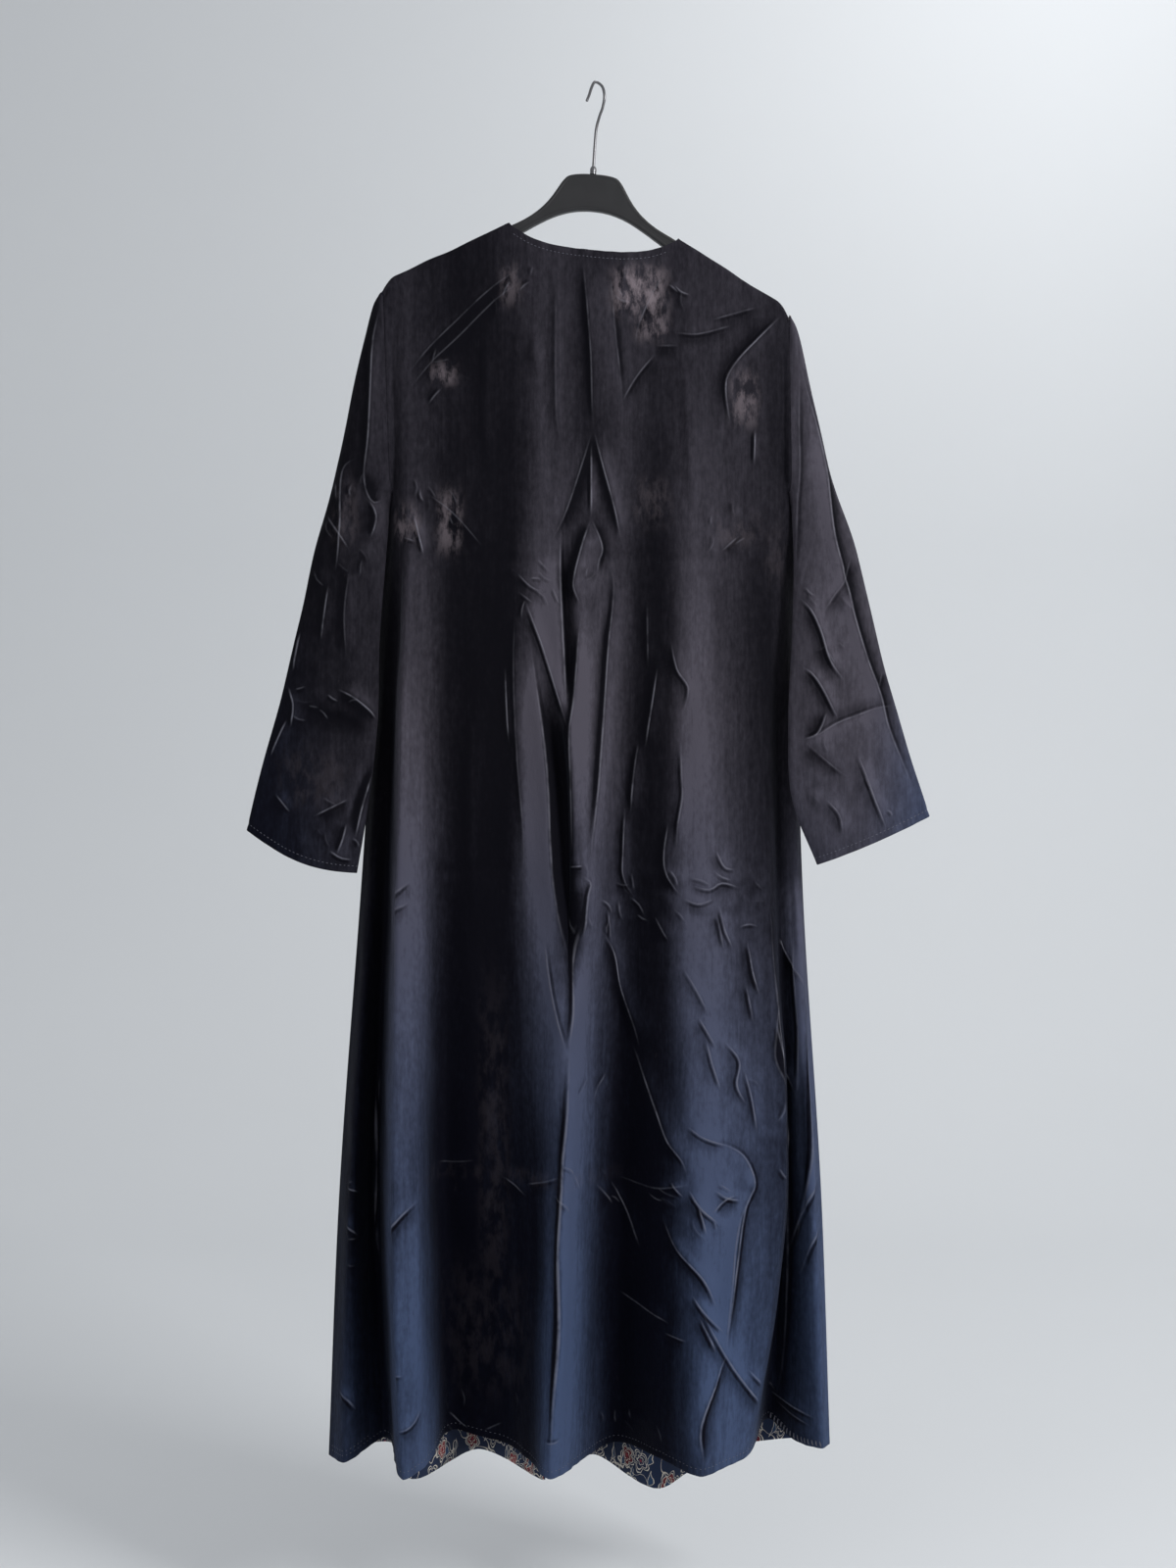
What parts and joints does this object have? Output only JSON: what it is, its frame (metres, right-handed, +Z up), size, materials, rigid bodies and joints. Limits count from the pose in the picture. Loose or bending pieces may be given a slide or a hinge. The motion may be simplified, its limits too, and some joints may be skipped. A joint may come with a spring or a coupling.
{
  "type": "long kimono jacket on a clothes hanger",
  "caption": "Long open-front reversible velvet kimono jacket with wide sleeves and a flared folded hem, hung on a moulded clothes hanger with a wire hook.",
  "frame": {"origin": "the point inside the top of the hook that rests on whatever carries the hanger", "axes": "+X across the jacket, +Z up, -Y out of the jacket's back, so +Y is its open front"},
  "size_m": [0.7198, 0.165, 1.499],
  "materials": {
    "silk_velvet": "crushed pile with a soft sheen",
    "printed_cotton": "plain weave, floral print",
    "hanger_plastic": "satin moulded",
    "hook_steel": "dark drawn wire"
  },
  "bodies": {
    "root": {"back": "silk_velvet", "front_left": "silk_velvet", "front_right": "silk_velvet", "sleeve_left_back": "silk_velvet", "sleeve_left_front": "silk_velvet", "sleeve_right_back": "silk_velvet", "sleeve_right_front": "silk_velvet", "lining_back": "printed_cotton", "lining_front_left": "printed_cotton", "lining_front_right": "printed_cotton", "lining_sleeve_left_back": "printed_cotton", "lining_sleeve_left_front": "printed_cotton", "lining_sleeve_right_back": "printed_cotton", "lining_sleeve_right_front": "printed_cotton", "hanger_body": "hanger_plastic", "hook_ferrule": "hook_steel", "hanger_hook": "hook_steel"}
  },
  "joints": []
}
